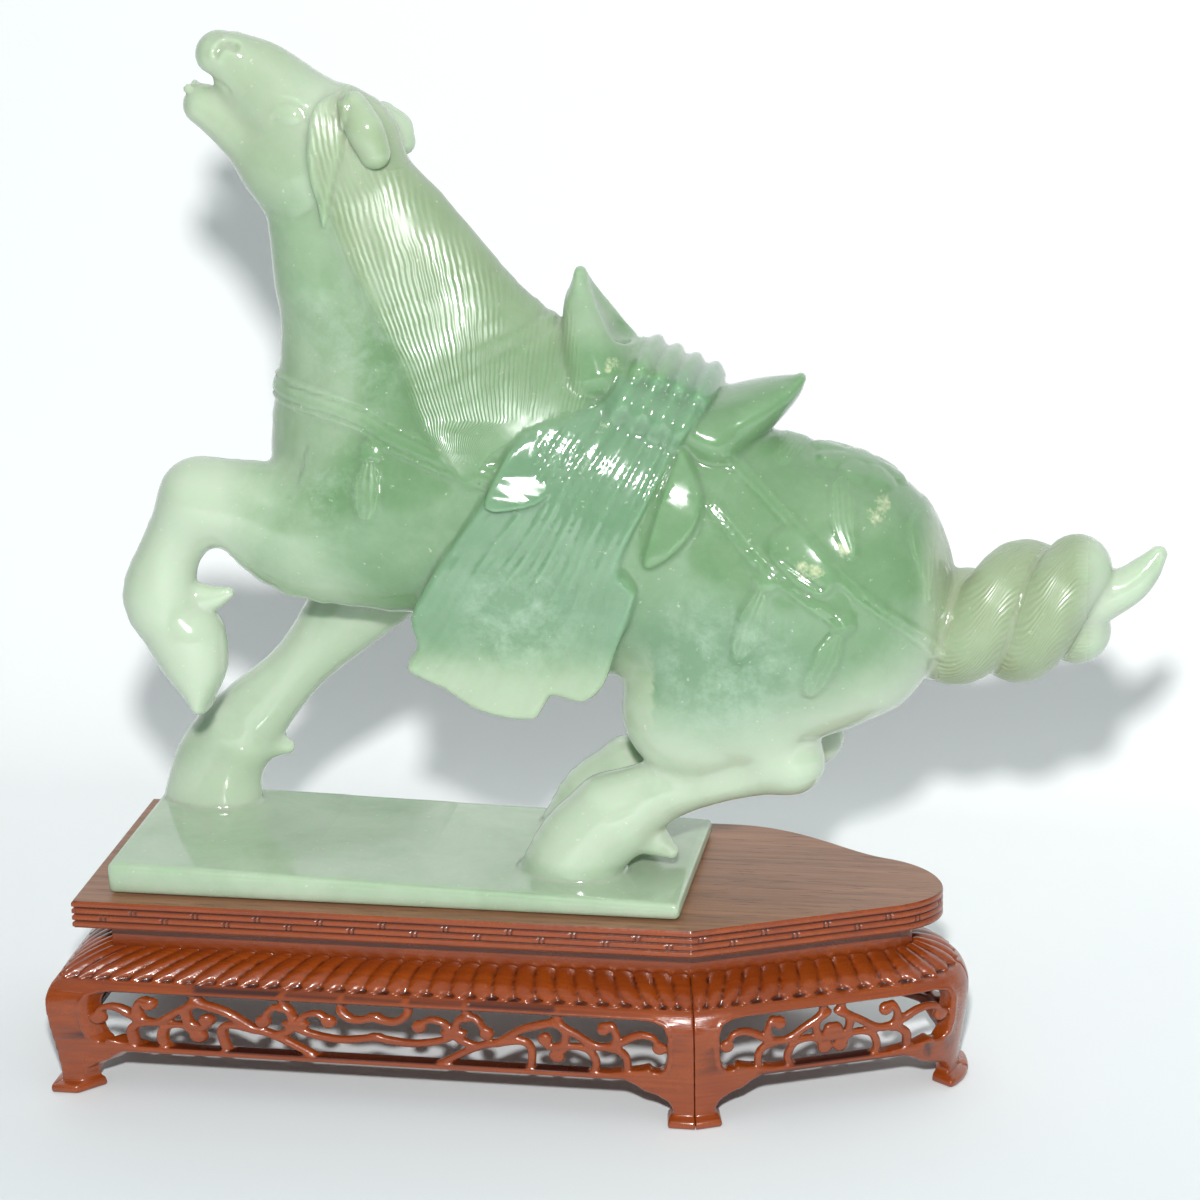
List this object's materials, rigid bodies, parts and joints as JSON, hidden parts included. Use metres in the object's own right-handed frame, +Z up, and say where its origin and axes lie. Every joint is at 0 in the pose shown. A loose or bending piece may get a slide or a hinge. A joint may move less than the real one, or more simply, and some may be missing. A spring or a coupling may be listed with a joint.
{
  "type": "jade horse carving on a carved wooden stand",
  "caption": "Prancing saddled horse and slab carved from one piece of pale green jade, on a pierced and gadrooned wooden stand with a pointed right end.",
  "frame": {"origin": "centre of the whole work's bounding box, on the surface that the feet stand on", "axes": "+Z up, +X towards the tail and the stand's pointed end, the near side seen in the picture faces -Y"},
  "size_m": [0.36, 0.1102, 0.3444],
  "materials": {
    "jade": "polished",
    "board_wood": "satin",
    "lacquered_wood": "gloss"
  },
  "bodies": {
    "root": {"horse": "jade", "stand_top": "board_wood", "stand_waist": "lacquered_wood", "apron_front": "lacquered_wood", "apron_front_right": "lacquered_wood", "apron_back_right": "lacquered_wood", "apron_back": "lacquered_wood", "apron_left": "lacquered_wood"}
  },
  "joints": []
}
